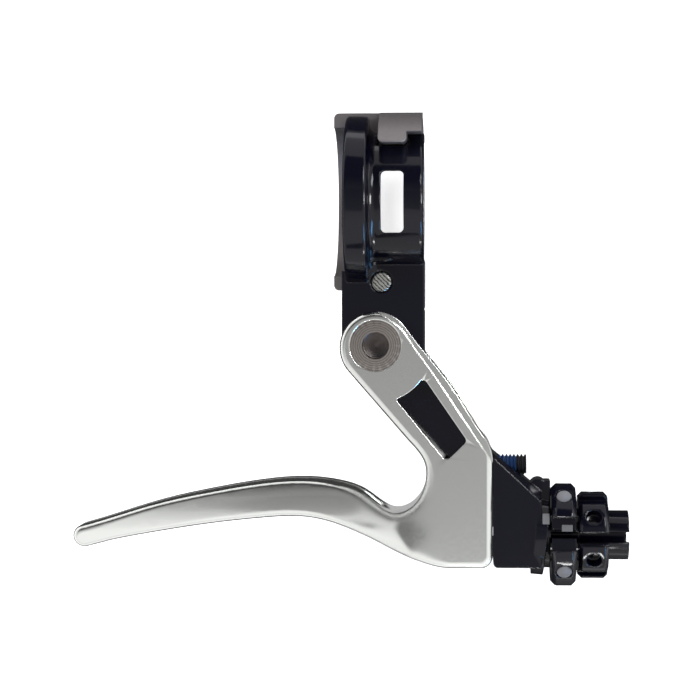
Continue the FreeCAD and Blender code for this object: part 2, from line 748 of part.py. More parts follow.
def slot_outline():
    """Room between the fork's plates for the body's arm, with a flat wall for the reach screw."""
    lean = math.radians(size("arm_lean"))
    along = Vector(math.cos(lean), -math.sin(lean), 0)
    aside = Vector(-math.sin(lean), -math.cos(lean), 0)
    gap = size("arm_edge_offset") + size("slot_play")
    foot = near_pivot(0, 0) + aside * gap
    wall = pivot_x + size("stop_wall_reach")
    wall_top = foot + along * ((wall - foot.x) / math.cos(lean))
    wall_low = pivot_y - size("reach_drop") - size("reach_radius") - size("slot_play")
    toe = near_pivot(0, 0) + aside * size("arm_edge_offset")
    toe = toe + along * ((toe.y - pivot_y + size("arm_toe_drop")) / math.sin(lean))
    inside = housing_left + size("housing_length") / 8
    toe_low = min(toe.y - size("slot_play"), wall_low)
    return outline([
        (foot.x, foot.y, 0),
        (wall_top.x, wall_top.y, 0),
        (wall, wall_low, 0),
        (toe.x - size("slot_play") / 2, toe_low, 0),
        (inside, pivot_y - size("arm_foot_drop") - size("slot_play"), 0),
        (inside, pivot_y + size("slot_round"), 0),
        (pivot_x, pivot_y + size("slot_round"), 0),
    ])


def ledge_outline():
    """Strip along the open side of the fork, outside the crease."""
    wide = size("housing_reach")
    peak = size("housing_peak_drop")
    crease = [near_pivot(across * wide, down * peak) for across, down in FORK_LEDGE]
    far = near_pivot(1.3 * wide, FORK_LEDGE[-1][1] * peak)
    top = near_pivot(1.3 * wide, -0.6 * peak)
    near = near_pivot(FORK_LEDGE[0][0] * wide, -0.6 * peak)
    edges = [
        smooth(crease),
        Part.LineSegment(crease[-1], far).toShape(),
        Part.LineSegment(far, top).toShape(),
        Part.LineSegment(top, near).toShape(),
        Part.LineSegment(near, crease[0]).toShape(),
    ]
    return Part.Face(Part.Wire(edges))


def groove_outline(back):
    """Channel along the blade's back edge."""
    upper = [point + Vector(0, 2 * size("groove_depth"), 0) for point in back]
    lower = [point - Vector(0, size("groove_depth"), 0) for point in back]
    edges = [
        smooth(upper),
        Part.LineSegment(upper[-1], lower[-1]).toShape(),
        smooth(list(reversed(lower))),
        Part.LineSegment(lower[0], upper[0]).toShape(),
    ]
    return Part.Face(Part.Wire(edges))


def brake_lever():
    plan, back = lever_plan()
    plate = extrude("lever_plate", plan, "-fork_half", "fork_half")
    form = cut("lever_form", plate, *blade_crown())
    soft = rounded("lever_soft", form, size("edge_round"), rim_of_walls(form))

    slot = extrude("fork_slot", slot_outline(), "-neck_half - fork_play", "neck_half + fork_play")
    slot_round = cylinder("fork_slot_round", "slot_round", "2 * (%s)" % SLOT_HALF,
                          ("pivot_x", PIVOT_Y, "-neck_half - fork_play"), "Z")
    wide = size("housing_reach")
    peak = size("housing_peak_drop")
    corners = [tuple(near_pivot(across * wide, down * peak))[:2] + (size(soft_corner),)
               for across, down, soft_corner in FORK_WINDOW]
    window = extrude("fork_window", outline(corners), "-2 * fork_half", "2 * fork_half")
    keep = cylinder("fork_window_keep", "fork_window_arc", "4 * fork_half", ("pivot_x", PIVOT_Y, "-2 * fork_half"), "Z")
    window_cut = cut("fork_window_cut", window, keep)
    ledges = []
    for name, low, high in (("ledge_upper", "fork_half - ledge_depth", "2 * fork_half"),
                            ("ledge_lower", "-2 * fork_half", "-fork_half + ledge_depth")):
        ledges.append(extrude(name, ledge_outline(), low, high))
    groove = extrude("blade_groove", groove_outline(back[:8]), "-groove_half", "groove_half")
    axle_hole = cylinder("axle_hole", "bearing_bore + fit_play", "4 * fork_half",
                         ("pivot_x", PIVOT_Y, "-2 * fork_half"), "Z")
    head_seat = cylinder("axle_head_seat", "axle_head_radius + fit_play", "fork_half",
                         ("pivot_x", PIVOT_Y, "fork_half - axle_head_sink - axle_head_height"), "Z")
    bolt_seat = cylinder("pivot_bolt_seat", "pivot_head_radius + bolt_hole_play", "fork_half",
                         ("pivot_x", PIVOT_Y, "-2 * fork_half + pivot_head_height"), "Z")
    nipple_x = "pivot_x + nipple_reach"
    nipple = cylinder("nipple_pocket", "nipple_radius", "2 * fork_half + nipple_top",
                      (nipple_x, BARREL_Y, "-2 * fork_half"), "Z")
    nipple_slot = block("nipple_slot", (nipple_x, HOUSING_LEFT),
                        (BARREL_Y + " - cable_slot / 2", BARREL_Y + " + cable_slot / 2"),
                        ("-2 * fork_half", "nipple_slot_top"))
    return cut("brake_lever", soft, slot, slot_round, window_cut, *ledges, groove, axle_hole, head_seat, bolt_seat,
               nipple, nipple_slot)


def pivot_axle():
    head_top = "fork_half - axle_head_sink"
    head_low = head_top + " - axle_head_height"
    end = "-fork_half + pivot_head_height + axle_end_gap"
    head = cylinder("axle_head", "axle_head_radius", "axle_head_height", ("pivot_x", PIVOT_Y, head_low), "Z")
    shaft = cylinder("axle_shaft", "bearing_bore", "(%s) - (%s)" % (head_low, end), ("pivot_x", PIVOT_Y, end), "Z")
    dimple = cylinder("axle_dimple", "axle_dimple_radius", "axle_dimple_depth",
                      ("pivot_x", PIVOT_Y, head_top + " - axle_dimple_depth"), "Z")
    point = cone("axle_dimple_point", "0", "axle_dimple_radius", "axle_dimple_cone",
                 ("pivot_x", PIVOT_Y, head_top + " - axle_dimple_depth - axle_dimple_cone"), "Z")
    thread = cylinder("axle_thread", "pivot_bolt_radius + fit_play", "pivot_bolt_length + axle_end_gap",
                      ("pivot_x", PIVOT_Y, end), "Z")
    return cut("pivot_axle", fuse("axle_solid", head, shaft), dimple, point, thread)


def pivot_bolt():
    head_top = "-fork_half + pivot_head_height"
    head = cylinder("pivot_bolt_head", "pivot_head_radius", "pivot_head_height",
                    ("pivot_x", PIVOT_Y, "-fork_half"), "Z")
    shank = cylinder("pivot_bolt_shank", "pivot_bolt_radius", "pivot_bolt_length", ("pivot_x", PIVOT_Y, head_top), "Z")
    key = hexagon("pivot_bolt_socket", "pivot_key", "pivot_key_depth", ("pivot_x", PIVOT_Y, "-fork_half"), "Z")
    return cut("pivot_bolt", fuse("pivot_bolt_solid", head, shank), key)


def bearing(side, low):
    """Shielded ball bearing whose lower face is at a height: races, balls and shields."""
    high = low + " + bearing_width"
    middle = low + " + bearing_width / 2"
    pitch = "(race_outer_lip + race_inner_lip) / 2"

    def track(name):
        torus = doc.addObject("Part::Torus", name)
        bind(torus, "Radius1", pitch)
        bind(torus, "Radius2", "ball_radius + ball_play")
        place(torus, ("pivot_x", PIVOT_Y, middle), Rotation())
        return torus
    outer = ring(side + "_outer_blank", "bearing_radius - fit_play", "race_outer_lip", low, high)
    outer_race = cut(side + "_outer_race", outer, track(side + "_outer_track"))
    inner = ring(side + "_inner_blank", "race_inner_lip", "bearing_bore + fit_play", low, high)
    inner_race = cut(side + "_inner_race", inner, track(side + "_inner_track"))
    ball = doc.addObject("Part::Sphere", side + "_ball")
    bind(ball, "Radius", "ball_radius")
    place(ball, ("pivot_x + " + pitch, PIVOT_Y, middle), Rotation())
    balls = patterned(side + "_balls", ball, round(size("ball_count")), Vector(pivot_x, pivot_y, 0), Vector(0, 0, 1))
    outer_edge = "race_outer_lip - fit_play"
    inner_edge = "race_inner_lip + shield_play"
    below = ring(side + "_shield_below", outer_edge, inner_edge, low + " + shield_inset",
                 low + " + shield_inset + shield_thick")
    above = ring(side + "_shield_above", outer_edge, inner_edge, high + " - shield_inset - shield_thick",
                 high + " - shield_inset")
    shields = fuse(side + "_shields", below, above)
    return [outer_race, inner_race, balls, shields]


def reach_screw():
    right = HOUSING_LEFT + " + reach_proud"
    left = "pivot_x + stop_wall_reach + reach_tip_gap"
    length = "(%s) - (%s)" % (right, left)
    shank = cylinder("reach_shank", "reach_radius", length + " - 2 * screw_chamfer",
                     (left + " + screw_chamfer", REACH_Y, "0"), "X")
    tip = cone("reach_tip", "reach_radius - screw_chamfer", "reach_radius", "screw_chamfer", (left, REACH_Y, "0"), "X")
    tail = cone("reach_tail", "reach_radius", "reach_radius - screw_chamfer", "screw_chamfer",
                (right + " - screw_chamfer", REACH_Y, "0"), "X")
    key = hexagon("reach_socket", "reach_key", "2 * reach_key_depth", (right + " - reach_key_depth", REACH_Y, "0"), "X")
    return cut("reach_screw", fuse("reach_solid", shank, tip, tail), key)


def lobed_disc(name, left, width, radius, waist, chamfer, lobes, notch, hole, bore, turn):
    """Finger ring about the barrel axis: chamfered disc, notches down to a waist, holes in the lobes."""
    centre = Vector(0, pivot_y - size("barrel_drop"), 0)
    axis = Vector(1, 0, 0)
    count = round(size(lobes))
    rim_low = cone(name + "_rim_left", "%s - %s" % (radius, chamfer), radius, chamfer, (left, BARREL_Y, "0"), "X")
    rim = cylinder(name + "_rim", radius, "%s - 2 * %s" % (width, chamfer),
                   (left + " + " + chamfer, BARREL_Y, "0"), "X")
    rim_high = cone(name + "_rim_right", radius, "%s - %s" % (radius, chamfer), chamfer,
                    (left + " + %s - %s" % (width, chamfer), BARREL_Y, "0"), "X")
    disc = fuse(name + "_disc", rim_low, rim, rim_high)
    notch_tool = block(name + "_notch", (left + " - 1", left + " + %s + 1" % width),
                       (BARREL_Y + " - %s / 2" % notch, BARREL_Y + " + %s / 2" % notch), (waist, "2 * " + radius))
    notches = patterned(name + "_notches", notch_tool, count, centre, axis, turn)
    hole_tool = cylinder(name + "_hole", hole, radius + " - " + bore + " / 2",
                         (left + " + %s / 2" % width, BARREL_Y, "(%s + %s) / 2" % (bore, waist)), "Z")
    holes = patterned(name + "_holes", hole_tool, count, centre, axis, turn + 180.0 / count)
    return disc, notches, holes


LOCK_LEFT = BOSS_END + " + ring_gap"
COLLAR_LEFT = LOCK_LEFT + " + lock_width + adjuster_gap"
COLLAR_RIGHT = COLLAR_LEFT + " + collar_width"


def lock_ring():
    disc, notches, holes = lobed_disc("lock", LOCK_LEFT, "lock_width", "lock_radius", "lock_waist", "lock_chamfer",
                                      "lock_lobes", "lock_notch", "lock_hole_radius", "barrel_thread_radius",
                                      -size("lock_turn"))
    bore = cylinder("lock_bore", "barrel_thread_radius", "2 * lock_width", (LOCK_LEFT + " - 1", BARREL_Y, "0"), "X")
    slot_tool = block("lock_slot_block", (LOCK_LEFT + " - 1", LOCK_LEFT + " + lock_width + 1"),
                      (BARREL_Y + " - lock_slot / 2", BARREL_Y + " + lock_slot / 2"), ("0", "2 * lock_radius"))
    centre = Vector(0, pivot_y - size("barrel_drop"), 0)
    slot = patterned("lock_slot_cut", slot_tool, 1, centre, Vector(1, 0, 0), -size("lock_turn"))
    return cut("lock_ring", disc, notches, holes, bore, slot)


def barrel_adjuster():
    disc, notches, holes = lobed_disc("collar", COLLAR_LEFT, "collar_width", "collar_radius", "collar_waist",
                                      "collar_chamfer", "collar_pads", "collar_notch", "collar_hole_radius",
                                      "barrel_thread_radius", 0.0)
    grip = cut("collar_grip", disc, notches, holes)
    shank = cylinder("adjuster_shank", "barrel_thread_radius - barrel_play", "adjuster_thread_length",
                     (COLLAR_LEFT + " - adjuster_thread_length + collar_chamfer", BARREL_Y, "0"), "X")
    spout = cylinder("adjuster_spout", "spout_radius", "spout_length + collar_chamfer",
                     (COLLAR_RIGHT + " - collar_chamfer", BARREL_Y, "0"), "X")
    solid = fuse("adjuster_solid", grip, shank, spout)
    end = COLLAR_RIGHT + " + spout_length"
    seat = cylinder("housing_seat", "housing_seat_radius", "2 * housing_seat_depth",
                    (end + " - housing_seat_depth", BARREL_Y, "0"), "X")
    wire = cylinder("adjuster_wire", "wire_hole_radius", "4 * adjuster_thread_length",
                    (COLLAR_LEFT + " - 2 * adjuster_thread_length", BARREL_Y, "0"), "X")
    slot = block("adjuster_slot_cut", (COLLAR_LEFT + " - 2 * adjuster_thread_length", end + " + 1"),
                 (BARREL_Y + " - adjuster_slot / 2", BARREL_Y + " + adjuster_slot / 2"), ("0", "2 * collar_radius"))
    return cut("barrel_adjuster", solid, seat, wire, slot)


nodes = [lever_body(), clamp_cap(), clamp_bolt(), clamp_washer(), brake_lever(), pivot_axle(), pivot_bolt()]
nodes += bearing("upper", "neck_half - bearing_width")
nodes += bearing("lower", "-neck_half")
nodes.append(ring("bearing_spacer", "spacer_radius", "bearing_bore + fit_play",
                  "-neck_half + bearing_width", "neck_half - bearing_width"))
nodes.append(ring("upper_thrust_washer", "thrust_radius", "bearing_bore + fit_play", "neck_half", SLOT_HALF))
nodes.append(ring("lower_thrust_washer", "thrust_radius", "bearing_bore + fit_play",
                  "-neck_half - fork_play", "-neck_half"))
nodes += [reach_screw(), lock_ring(), barrel_adjuster()]
doc.recompute()

for thing in doc.Objects:
    if "Invalid" in thing.State or "Error" in thing.State:
        raise RuntimeError("not built: " + thing.Name)
os.makedirs("parts", exist_ok=True)
for node in nodes:
    if node.Shape.isNull() or not node.Shape.isValid():
        raise RuntimeError("no valid shape: " + node.Label)
for node in nodes:
    node.Shape.exportStep("parts/%s.step" % node.Label)
    print(node.Label, len(node.Shape.Solids), round(node.Shape.Volume, 2))
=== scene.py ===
import json
import math
import bmesh
import bpy
from mathutils import Matrix, Vector


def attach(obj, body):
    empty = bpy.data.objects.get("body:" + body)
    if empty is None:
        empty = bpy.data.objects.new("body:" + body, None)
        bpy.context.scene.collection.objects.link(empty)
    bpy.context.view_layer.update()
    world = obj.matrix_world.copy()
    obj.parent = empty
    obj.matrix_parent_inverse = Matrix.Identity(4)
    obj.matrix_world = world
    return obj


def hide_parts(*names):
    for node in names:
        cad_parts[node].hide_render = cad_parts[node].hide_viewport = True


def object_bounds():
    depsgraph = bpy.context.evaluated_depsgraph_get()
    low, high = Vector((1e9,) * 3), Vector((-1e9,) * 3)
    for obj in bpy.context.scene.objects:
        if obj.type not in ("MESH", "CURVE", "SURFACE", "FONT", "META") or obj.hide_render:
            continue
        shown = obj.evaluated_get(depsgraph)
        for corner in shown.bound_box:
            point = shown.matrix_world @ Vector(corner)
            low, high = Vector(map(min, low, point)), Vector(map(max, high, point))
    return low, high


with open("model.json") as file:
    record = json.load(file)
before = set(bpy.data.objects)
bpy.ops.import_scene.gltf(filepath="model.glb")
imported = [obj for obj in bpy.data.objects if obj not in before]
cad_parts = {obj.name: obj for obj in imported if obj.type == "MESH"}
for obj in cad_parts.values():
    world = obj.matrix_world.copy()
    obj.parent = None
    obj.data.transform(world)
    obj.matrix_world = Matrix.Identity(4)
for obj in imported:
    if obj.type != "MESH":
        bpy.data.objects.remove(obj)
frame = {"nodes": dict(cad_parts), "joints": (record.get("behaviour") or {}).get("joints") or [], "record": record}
cad_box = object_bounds()
scene = bpy.context.scene
MM = 0.001


# Places taken from the frame

SLOT = {row["node"]: row["material_slot"] for row in frame["record"]["subparts"]}
BODY = {node: body for body, nodes in frame["record"]["behaviour"]["bodies"].items() for node in nodes}
JOINT = {row["name"]: Vector(row["pos_m"]) for row in frame["joints"]}
PIVOT = JOINT["lever_pivot"]


def span(node, axis):
    """Lowest and highest place of a solid along one axis."""
    places = [corner.co[axis] for corner in frame["nodes"][node].data.vertices]
    return min(places), max(places)


# The middle of the lock ring, on the adjuster's axis
RING = Vector((sum(span("lock_ring", 0)) / 2, JOINT["lock_ring_turn"].y, 0.0))
FLOOR_LEVEL = cad_box[0][2] - 0.1 * MM


# Sizes of the dressing and the finishes

BROKEN_EDGE = {
    "lever_body": 0.2 * MM,
    "clamp_cap": 0.25 * MM,
    "brake_lever": 0.15 * MM,
    "lock_ring": 0.15 * MM,
    "barrel_adjuster": 0.15 * MM,
    "clamp_bolt": 0.1 * MM,
    "pivot_axle": 0.12 * MM,
    "pivot_bolt": 0.12 * MM,
}
BREAK_ABOVE = math.radians(28.0)
MERGE = 0.002 * MM

THREAD_PITCH = 0.7 * MM
THREAD_CREST = 2.0 * MM
THREAD_ROOT = 1.56 * MM
SOCKET_RADIUS = 1.15 * MM
SOCKET_DEPTH = 2.5 * MM
LEAD_TURNS = 2
SPIN_STEPS = 36
PATCH_START = 21.9 * MM
PATCH_END = 25.8 * MM

BALL_RADIUS = 1.48 * MM
BALL_OUT = 9.25 * MM
LOBES = 4
RING_TURN_DEGREES = 7.0
PAD_EDGE = 0.08 * MM

CROOK = (3.5 * MM, -58.5 * MM, 8.0 * MM)
CROOK_REACH = 8.5 * MM
CROOK_FADE = 13.0 * MM
CROOK_ROUNDING = 2.2 * MM
LEVER_ROUNDING = 0.25 * MM
AXLE_HOLE = 2.45 * MM
AXLE_HOLE_RIM = 0.1 * MM


# Finishes

def finish(name, colour, rough, metal=0.0):
    """Plain finish, with its nodes at hand."""
    material = bpy.data.materials.new(name)
    material.use_nodes = True
    shader = material.node_tree.nodes["Principled BSDF"]
    shader.inputs["Base Color"].default_value = (*colour, 1.0)
    shader.inputs["Roughness"].default_value = rough
    shader.inputs["Metallic"].default_value = metal
    return material, material.node_tree, shader


def add(tree, kind, **values):
    """New node with some of its settings."""
    node = tree.nodes.new(kind)
    for key, value in values.items():
        setattr(node, key, value)
    return node


def own_place(tree):
    """Coordinates of the object itself."""
    return add(tree, "ShaderNodeTexCoord").outputs["Object"]


def texture(tree, kind, place, inputs, **values):
    """New texture node on some coordinates."""
    node = add(tree, kind, **values)
    for key, value in inputs.items():
        node.inputs[key].default_value = value
    tree.links.new(place, node.inputs["Vector"])
    return node


def spread(tree, source, low, high, first, second):
    """Map a value range onto another one."""
    node = add(tree, "ShaderNodeMapRange")
    for key, value in (("From Min", low), ("From Max", high), ("To Min", first), ("To Max", second)):
        node.inputs[key].default_value = value
    tree.links.new(source, node.inputs["Value"])
    return node.outputs["Result"]


def blend(tree, share, first, second):
    """Colour between two, which are colours or the outputs of nodes."""
    node = add(tree, "ShaderNodeMix", data_type="RGBA")
    for key, colour in (("A", first), ("B", second)):
        if isinstance(colour, tuple):
            node.inputs[key].default_value = (*colour, 1.0)
        else:
            tree.links.new(colour, node.inputs[key])
    tree.links.new(share, node.inputs["Factor"])
    return node.outputs["Result"]


def relief(tree, shader, height, depth, strength):
    """Fine relief on a finish."""
    bump = add(tree, "ShaderNodeBump")
    bump.inputs["Strength"].default_value = strength
    bump.inputs["Distance"].default_value = depth
    tree.links.new(height, bump.inputs["Height"])
    tree.links.new(bump.outputs["Normal"], shader.inputs["Normal"])
    return bump


def grain(tree, shader, scale, strength, rough, edge):
    """Fine uneven polish from noise, and edges that catch the light."""
    noise = texture(tree, "ShaderNodeTexNoise", own_place(tree), {"Scale": scale, "Detail": 4.0})
    tree.links.new(spread(tree, noise.outputs["Fac"], 0.3, 0.7, *rough), shader.inputs["Roughness"])
    bump = relief(tree, shader, noise.outputs["Fac"], depth=0.02 * MM, strength=strength)
    worn = add(tree, "ShaderNodeBevel", samples=6)
    worn.inputs["Radius"].default_value = edge
    tree.links.new(worn.outputs["Normal"], bump.inputs["Normal"])
    return worn


def black_anodise():
    """Glossy black of the body, the ring and the adjuster."""
    material, tree, shader = finish("black_anodise", colour=(0.0018, 0.0018, 0.0055), rough=0.1)
    shader.inputs["Specular IOR Level"].default_value = 0.32
    grain(tree, shader, scale=900.0, strength=0.02, rough=(0.08, 0.12), edge=0.4 * MM)
    return material


def grey_anodise():
    """Matt grey of the clamp's cap."""
    material, tree, shader = finish("grey_anodise", colour=(0.2, 0.184, 0.187), rough=0.5, metal=0.85)
    grain(tree, shader, scale=1200.0, strength=0.15, rough=(0.45, 0.58), edge=0.3 * MM)
    return material


def polished_aluminium():
    """Polished lever, rounder in its crook than elsewhere."""
    material, tree, shader = finish("polished_aluminium", colour=(0.78, 0.79, 0.765), rough=0.15, metal=1.0)
    worn = grain(tree, shader, scale=1500.0, strength=0.012, rough=(0.12, 0.17), edge=LEVER_ROUNDING)
    away = add(tree, "ShaderNodeVectorMath", operation="DISTANCE")
    away.inputs[1].default_value = CROOK
    tree.links.new(own_place(tree), away.inputs[0])
    radius = spread(tree, away.outputs["Value"], CROOK_REACH, CROOK_FADE, CROOK_ROUNDING, LEVER_ROUNDING)
    tree.links.new(radius, worn.inputs["Radius"])
    return material


def turned_axle():
    """Steel faced on a lathe: fine rings round the pivot, and a drilled middle that is left rougher, with its
    colour darkened as painted shade in the hole.
    """
    bright = (0.36, 0.32, 0.29)
    drilled_dull_and_shade = (0.25, 0.22, 0.21)
    bright_rough = 0.34
    dull_rough = 0.6
    material, tree, shader = finish("turned_axle", colour=bright, rough=bright_rough, metal=1.0)
    move = add(tree, "ShaderNodeMapping")
    move.inputs["Location"].default_value = (-PIVOT.x, -PIVOT.y, 0.0)
    tree.links.new(own_place(tree), move.inputs["Vector"])
    flat = add(tree, "ShaderNodeVectorMath", operation="MULTIPLY")
    flat.inputs[1].default_value = (1.0, 1.0, 0.0)
    tree.links.new(move.outputs["Vector"], flat.inputs[0])
    rings = texture(tree, "ShaderNodeTexWave", flat.outputs["Vector"],
                    {"Scale": 760.0, "Distortion": 2.5, "Detail": 2.0, "Detail Scale": 2.0},
                    wave_type="RINGS", rings_direction="Z")
    from_axis = add(tree, "ShaderNodeVectorMath", operation="LENGTH")
    tree.links.new(flat.outputs["Vector"], from_axis.inputs[0])
    low = AXLE_HOLE - AXLE_HOLE_RIM
    high = AXLE_HOLE + AXLE_HOLE_RIM
    inside = spread(tree, from_axis.outputs["Value"], low, high, 1.0, 0.0)
    shaded = tuple(0.62 * part for part in bright)
    turned = blend(tree, rings.outputs["Fac"], shaded, bright)
    # Inside the hole the colour turns darker: painted shade in the hole, beside its rougher finish.
    tree.links.new(blend(tree, inside, turned, drilled_dull_and_shade), shader.inputs["Base Color"])
    tree.links.new(spread(tree, inside, 0.0, 1.0, bright_rough, dull_rough), shader.inputs["Roughness"])
    relief(tree, shader, rings.outputs["Fac"], depth=0.03 * MM, strength=0.4)
    return material


def bright_steel():
    """Cut steel with the marks of the saw across it."""
    bright = (0.42, 0.415, 0.385)
    dark = (0.06, 0.058, 0.052)
    material, tree, shader = finish("bright_steel", colour=bright, rough=0.35, metal=1.0)
    marks = texture(tree, "ShaderNodeTexWave", own_place(tree),
                    {"Scale": 800.0, "Distortion": 3.0, "Detail": 3.0, "Detail Scale": 3.0},
                    wave_type="BANDS", bands_direction="DIAGONAL")
    share = spread(tree, marks.outputs["Fac"], 0.15, 0.6, 0.0, 1.0)
    tree.links.new(blend(tree, share, dark, bright), shader.inputs["Base Color"])
    relief(tree, shader, marks.outputs["Fac"], depth=0.05 * MM, strength=0.5)
    return material


def screw_with_patch():
    """Black screw with a blue patch of thread lock along part of its length, ragged at its ends."""
    black = (0.007, 0.007, 0.009)
    blue = (0.006, 0.03, 0.105)
    ragged_by = 0.8 * MM
    fade = 0.3 * MM
    material, tree, shader = finish("screw_with_patch", colour=black, rough=0.35)
    split = add(tree, "ShaderNodeSeparateXYZ")
    tree.links.new(own_place(tree), split.inputs["Vector"])
    noise = texture(tree, "ShaderNodeTexNoise", own_place(tree), {"Scale": 700.0})
    ragged = add(tree, "ShaderNodeMath", operation="MULTIPLY_ADD")
    ragged.inputs[1].default_value = ragged_by
    tree.links.new(noise.outputs["Fac"], ragged.inputs[0])
    tree.links.new(split.outputs["X"], ragged.inputs[2])
    both = add(tree, "ShaderNodeMath", operation="MULTIPLY")
    start = spread(tree, ragged.outputs["Value"], PATCH_START, PATCH_START + fade, 0.0, 1.0)
    stop = spread(tree, ragged.outputs["Value"], PATCH_END, PATCH_END + fade, 1.0, 0.0)
    tree.links.new(start, both.inputs[0])
    tree.links.new(stop, both.inputs[1])
    tree.links.new(blend(tree, both.outputs["Value"], black, blue), shader.inputs["Base Color"])
    return material


FINISH = {
    "body_black": black_anodise(),
    "cap_grey": grey_anodise(),
    "lever_silver": polished_aluminium(),
    "axle_steel": turned_axle(),
    "steel": bright_steel(),
    "bearing_steel": finish("ground_steel", colour=(0.62, 0.62, 0.62), rough=0.15, metal=1.0)[0],
    "screw_black": screw_with_patch(),
}
BALL_GREY = finish("ball_grey", colour=(0.125, 0.125, 0.138), rough=0.75)[0]
# Grey of the blocks that paint small glints.
GLINT_BLOCK_GREY = finish("glint_block_grey", colour=(0.12, 0.12, 0.125), rough=0.4, metal=0.2)[0]
for node, thing in frame["nodes"].items():
    thing.data.materials.clear()
    thing.data.materials.append(FINISH[SLOT[node]])


# Pieces that dress the solids

def placed(shape, name, material):
    """Object of a finished shape, in the scene."""
    mesh = bpy.data.meshes.new(name)
    shape.to_mesh(mesh)
    shape.free()
    mesh.materials.append(material)
    piece = bpy.data.objects.new(name, mesh)
    scene.collection.objects.link(piece)
    return piece


def belongs(piece, node, stands_for):
    """Tie a piece to a solid's body, and hide the solid where the piece stands for it."""
    if stands_for:
        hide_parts(node)
    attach(piece, BODY[node])


def edges_of(parts):
    """Edges among what an operator gives back."""
    return [part for part in parts if isinstance(part, bmesh.types.BMEdge)]


def corners_of(parts):
    """Corners among what an operator gives back."""
    return [part for part in parts if isinstance(part, bmesh.types.BMVert)]


def soft_edges(node, width):
    """Copy of a solid with its sharp edges broken, as the machined piece has."""
    shape = bmesh.new()
    shape.from_mesh(frame["nodes"][node].data)
    bmesh.ops.remove_doubles(shape, verts=shape.verts, dist=MERGE)
    bmesh.ops.dissolve_degenerate(shape, edges=shape.edges, dist=MERGE)
    piece = placed(shape, node + "_dressed", FINISH[SLOT[node]])
    piece.data.shade_smooth()
    bevel = piece.modifiers.new("broken_edges", "BEVEL")
    bevel.width = width
    bevel.segments = 2
    bevel.limit_method = "ANGLE"
    bevel.angle_limit = BREAK_ABOVE
    bevel.use_clamp_overlap = True
    even = piece.modifiers.new("even_faces", "WEIGHTED_NORMAL")
    even.weight = 80
    even.keep_sharp = True
    belongs(piece, node, True)


def threaded_screw():
    """Reach screw with its M4 thread cut along the whole length and a hexagon socket in its end."""
    left, right = span("reach_screw", 0)
    y = JOINT["reach_screw_turn"].y
    tooth = ((0.0, THREAD_ROOT), (0.12, THREAD_ROOT), (0.5, THREAD_CREST), (0.62, THREAD_CREST))
    turns = LEAD_TURNS + math.ceil((right - left) / THREAD_PITCH) + 1
    shape = bmesh.new()
    corners = [shape.verts.new((left + (turn - LEAD_TURNS + along) * THREAD_PITCH, y, radius))
               for turn in range(turns) for along, radius in tooth]
    for first, second in zip(corners, corners[1:]):
        shape.edges.new((first, second))
    bmesh.ops.spin(shape, geom=shape.verts[:] + shape.edges[:], cent=(0.0, y, 0.0), axis=(1.0, 0.0, 0.0),
                   dvec=(THREAD_PITCH / SPIN_STEPS, 0.0, 0.0), angle=math.tau, steps=SPIN_STEPS)
    bmesh.ops.remove_doubles(shape, verts=shape.verts, dist=MERGE)
    ends = []
    for x, way in ((left, -1.0), (right, 1.0)):
        cut = bmesh.ops.bisect_plane(shape, geom=shape.verts[:] + shape.edges[:] + shape.faces[:],
                                     dist=0.0001 * MM, plane_co=(x, y, 0.0), plane_no=(way, 0.0, 0.0),
                                     clear_outer=True)
        ends.append(edges_of(cut["geom_cut"]))
    place = Matrix.Translation((right, y, 0.0)) @ Matrix.Rotation(math.radians(90.0), 4, "Y")
    ring = bmesh.ops.create_circle(shape, cap_ends=False, radius=SOCKET_RADIUS, segments=6, matrix=place)
    socket = list({edge for corner in ring["verts"] for edge in corner.link_edges})
    bmesh.ops.bridge_loops(shape, edges=ends[1] + socket)
    deep = bmesh.ops.extrude_edge_only(shape, edges=socket)["geom"]
    bmesh.ops.translate(shape, verts=corners_of(deep), vec=(-SOCKET_DEPTH, 0.0, 0.0))
    bmesh.ops.edgeloop_fill(shape, edges=[edge for edge in edges_of(deep) if edge.is_boundary])
    bmesh.ops.edgeloop_fill(shape, edges=ends[0])
    bmesh.ops.recalc_face_normals(shape, faces=shape.faces)
    piece = placed(shape, "reach_screw_threaded", FINISH["screw_black"])
    belongs(piece, "reach_screw", True)


def lobe_balls():
    """Steel balls set in the holes of the lock ring's lobes."""
    shape = bmesh.new()
    for lobe in range(LOBES):
        angle = math.radians((lobe + 0.5) * 360.0 / LOBES - RING_TURN_DEGREES)
        place = (Matrix.Translation(RING) @ Matrix.Rotation(angle, 4, "X")
                 @ Matrix.Translation((0.0, 0.0, BALL_OUT)))
        bmesh.ops.create_uvsphere(shape, u_segments=32, v_segments=16, radius=BALL_RADIUS, matrix=place)
    bmesh.ops.recalc_face_normals(shape, faces=shape.faces)
    piece = placed(shape, "lock_ring_balls", BALL_GREY)
    piece.data.shade_smooth()
    belongs(piece, "lock_ring", False)


def glint_block(name, node, offset, size, lean):
    """Small grey block let into a face that looks up, a painted glint where a small bright reflection lies. Offset
    from the ring's middle and size are in mm.
    """
    place = (Matrix.Translation(RING) @ Matrix.Scale(MM, 4) @ Matrix.Translation(offset)
             @ Matrix.Rotation(math.radians(lean), 4, "X") @ Matrix.Diagonal((*size, 1.0)))
    shape = bmesh.new()
    bmesh.ops.create_cube(shape, size=1.0, matrix=place)
    bmesh.ops.bevel(shape, geom=shape.edges[:], offset=PAD_EDGE, offset_type="OFFSET", affect="EDGES",
                    segments=2, profile=0.5, material=-1)
    bmesh.ops.recalc_face_normals(shape, faces=shape.faces)
    belongs(placed(shape, name, GLINT_BLOCK_GREY), node, False)


for node, width in BROKEN_EDGE.items():
    soft_edges(node, width)
threaded_screw()
lobe_balls()
